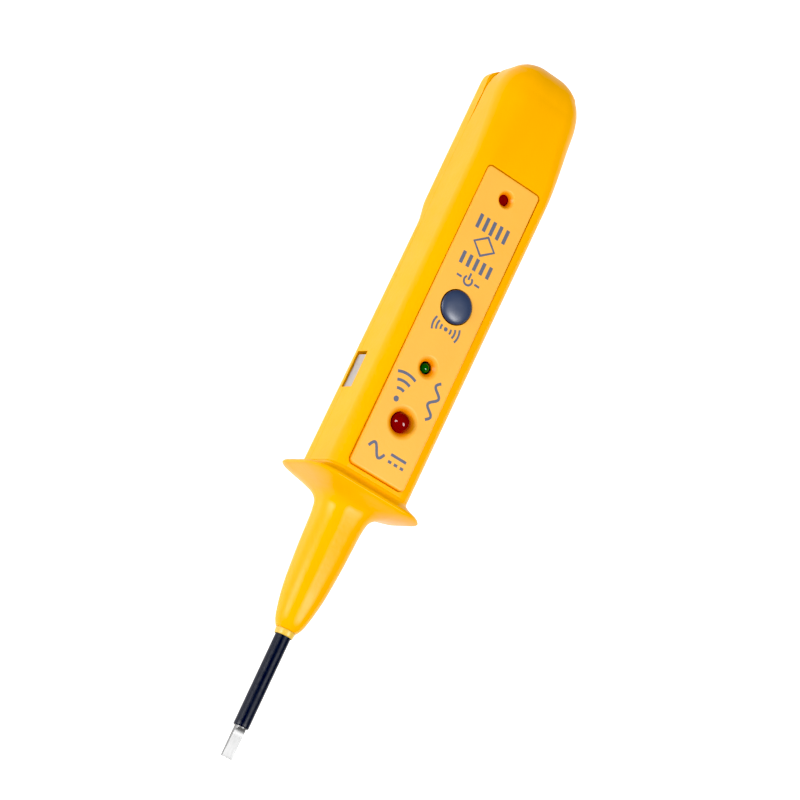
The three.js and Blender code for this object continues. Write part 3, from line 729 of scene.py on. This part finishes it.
YELLOW = (0.93, 0.425, 0.001)
abs_yellow = moulded("abs_yellow", YELLOW, Specular_IOR_Level=0.3)
plate_yellow = moulded("plate_yellow", (0.93, 0.455, 0.06), 0.45, 1300, 0.00003, Specular_IOR_Level=0.5)
# Painted shade: a deeper orange in the lamp recesses, at the button hole's lip and down the plate's
# rounded edge and sides.
plate_yellow.paint_shade_below((0.87, 0.25, 0.0), PLATE_BOTTOM + 0.6, PLATE_TOP - 0.02)
collar_clear = moulded("collar_clear", (0.72, 0.47, 0.07), 0.3, 700, 0.00002)
sleeve_black = moulded("sleeve_black", (0.006, 0.008, 0.02), 0.42, 500, 0.00005, Specular_IOR_Level=0.36)
button_navy = moulded("button_navy", (0.024, 0.042, 0.1), 0.4, 800, 0.00002, Specular_IOR_Level=0.9)
black_plastic = moulded("black_plastic", (0.015, 0.015, 0.017), 0.45, 900, 0.00003)
lens_red = moulded("lens_red", (0.2, 0.0, 0.002), 0.07, 300, 0.000004, Specular_IOR_Level=0.45)
lens_green = moulded("lens_green", (0.006, 0.09, 0.01), 0.07, 300, 0.000004, Specular_IOR_Level=0.45)
steel = metal("steel_ground", (0.275, 0.275, 0.275), 0.45, (1, 14, 14), 400, 0.000001, 0.05)
spring_steel = metal("steel_spring", (0.6, 0.6, 0.57), 0.3)
contact_steel = metal("steel_contact", (0.5, 0.475, 0.47), 0.36, (1, 10, 10))
zinc = metal("zinc_plated", (0.6, 0.6, 0.56), 0.35)
brass = metal("brass_strip", (0.72, 0.5, 0.2), 0.3, (1, 8, 8))
copper = metal("copper_sheet", (0.72, 0.36, 0.2), 0.34, (1, 8, 8))
laminate = moulded("board_laminate", (0.012, 0.13, 0.05), 0.3, 1500, 0.00003)
resistor_tan = moulded("resistor_lacquer", (0.5, 0.33, 0.16), 0.35, 600, 0.00005)
capacitor_blue = moulded("capacitor_sleeve", (0.02, 0.035, 0.12), 0.3, 600, 0.00003)
can = metal("battery_can", (0.5, 0.52, 0.56), 0.3, (1, 6, 6))
ink = moulded("ink_slate", (0.12, 0.135, 0.195), 0.5, 2500, 0.00002)

# Pieces and the CAD nodes they stand for ------------------------------------------------------------
PIECES = (
    (front_shell, "front_shell", "housing", abs_yellow, "yellow_abs"),
    (rear_cover, "rear_cover", "cover", abs_yellow, "yellow_abs"),
    (nose_cone, "nose_cone", "housing", abs_yellow, "yellow_abs"),
    (face_plate, "face_plate", "housing", plate_yellow, "plate_abs"),
    (blade, "blade", "housing", steel, "blade_steel"),
    (blade_sleeve, "blade_sleeve", "housing", sleeve_black, "sleeve_insulation"),
    (nose_collar, "nose_collar", "housing", collar_clear, "collar_plastic"),
    (lambda: lamp("voltage_lens", VOLTAGE_LED), "voltage_led", "housing", lens_red, "red_lens"),
    (lambda: lamp("continuity_lens", CONTINUITY_LED), "continuity_led", "housing", lens_green,
     "green_lens"),
    (lambda: lamp("detector_lens", DETECTOR_LED), "detector_led", "housing", lens_red, "red_lens"),
    (power_button, "power_button", "button", button_navy, "button_rubber"),
    (touch_contact, "touch_contact", "housing", contact_steel, "contact_steel"),
)
for make, node, body, material, slot_name in PIECES:
    piece = make()
    piece.data.materials.clear()
    piece.data.materials.append(material.material)
    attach(piece, body)
    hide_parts(node)

for name, ribbons in printed_marks().items():
    piece = print_ribbons(name, ribbons)
    piece.data.materials.append(ink.material)
    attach(piece, "housing")

CARRIED = {
    "switch_body": black_plastic, "switch_plunger": black_plastic, "switch_dome": spring_steel,
    "circuit_board": laminate, "board_screw_1": zinc, "board_screw_2": zinc,
    "safety_resistor": resistor_tan, "resistor_1": resistor_tan, "resistor_2": resistor_tan,
    "resistor_3": resistor_tan, "detector_chip": black_plastic, "capacitor": capacitor_blue,
    "blade_contact": brass, "sensor_plate": copper, "battery": can,
    "battery_positive_plate": spring_steel, "battery_negative_plate": spring_steel,
    "battery_spring": spring_steel,
}
for name, material in CARRIED.items():
    mesh = nodes[name].data
    mesh.materials.clear()
    mesh.materials.append(material.material)

# Floor, light and camera ----------------------------------------------------------------------------
# The floor lies below the rear cover's travel, so the lifted cover stays in sight.
FLOOR_DEPTH, FLOOR_HALF = 30, 3000
floor_mesh = bpy.data.meshes.new("floor")
corners = [(x * FLOOR_HALF * MM, y * FLOOR_HALF * MM, -FLOOR_DEPTH * MM)
           for x, y in ((-1, -1), (1, -1), (1, 1), (-1, 1))]
floor_mesh.from_pydata(corners, [], [(0, 1, 2, 3)])
floor = bpy.data.objects.new("floor", floor_mesh)
bpy.context.scene.collection.objects.link(floor)
floor_shader = Shader("floor_white", (0.5, 0.5, 0.5), 0.9)
floor_shader.vary_color(floor_shader.noise(3, 2), 0.004)
floor_shader.bsdf.inputs["Emission Color"].default_value = (1, 1, 1, 1)
floor_shader.bsdf.inputs["Emission Strength"].default_value = 0.75
floor_mesh.materials.append(floor_shader.material)

# The room is brighter overhead than near the floor.
world = bpy.data.worlds.new("studio")
world.use_nodes = True
tree = world.node_tree
background = tree.nodes["Background"]
background.inputs["Strength"].default_value = 0.45
split = tree.nodes.new("ShaderNodeSeparateXYZ")
tree.links.new(tree.nodes.new("ShaderNodeTexCoord").outputs["Generated"], split.inputs["Vector"])
sky = tree.nodes.new("ShaderNodeValToRGB")
sky.color_ramp.elements[0].position = 0.0
sky.color_ramp.elements[0].color = (0.45, 0.45, 0.45, 1)
sky.color_ramp.elements[1].position = 0.9
sky.color_ramp.elements[1].color = (1, 1, 1, 1)
tree.links.new(split.outputs["Z"], sky.inputs["Fac"])
tree.links.new(sky.outputs["Color"], background.inputs["Color"])
bpy.context.scene.world = world


def softbox(name, target, direction, power, distance=0.9, width=0.3, height=0.5):
    """A rectangular area light at a distance from a target, facing it; lengths are in metres."""
    data = bpy.data.lights.new(name, "AREA")
    data.shape = "RECTANGLE"
    data.size, data.size_y = width, height
    data.energy = power
    lamp_object = bpy.data.objects.new(name, data)
    direction = Vector(direction).normalized()
    lamp_object.location = Vector(target) + direction * distance
    lamp_object.rotation_mode = "QUATERNION"
    lamp_object.rotation_quaternion = direction.to_track_quat("Z", "Y")
    bpy.context.scene.collection.objects.link(lamp_object)


YAW, PITCH, ROLL, DISTANCE, LENS = 25.8, 13.95, 25.07, 766.5, 143.74
AIM_AT, AIM_RIGHT, AIM_UP = 95.25, 2.60, 2.27
yaw, pitch, roll = (math.radians(a) for a in (YAW, PITCH, ROLL))
back = Vector((math.sin(pitch), -math.sin(yaw) * math.cos(pitch), math.cos(yaw) * math.cos(pitch)))
tipwards = Vector((-1, 0, 0))
up_flat = (tipwards - back * tipwards.dot(back)).normalized()
right_flat = up_flat.cross(back)
right = math.cos(roll) * right_flat + math.sin(roll) * up_flat
up = math.cos(roll) * up_flat - math.sin(roll) * right_flat
centre = Vector(place(AIM_AT, 0, 0))
target = centre + right * AIM_RIGHT * MM + up * AIM_UP * MM

camera_data = bpy.data.cameras.new("camera")
camera_data.lens = LENS
camera_data.sensor_width = 36
camera = bpy.data.objects.new("camera", camera_data)
camera.rotation_mode = "QUATERNION"
camera.rotation_quaternion = Matrix((right, up, back)).transposed().to_quaternion()
camera.location = target + back * DISTANCE * MM
bpy.context.scene.collection.objects.link(camera)
bpy.context.scene.camera = camera

softbox("softbox_left", centre, back - 0.95 * right + 0.4 * up, 5.4)
softbox("softbox_right", centre, back + 0.95 * right - 0.5 * up, 6)
settings = bpy.context.scene.view_settings
settings.view_transform = "Standard"
settings.use_curve_mapping = True
settings.curve_mapping.black_level = (0.03, 0.03, 0.03)
settings.curve_mapping.update()
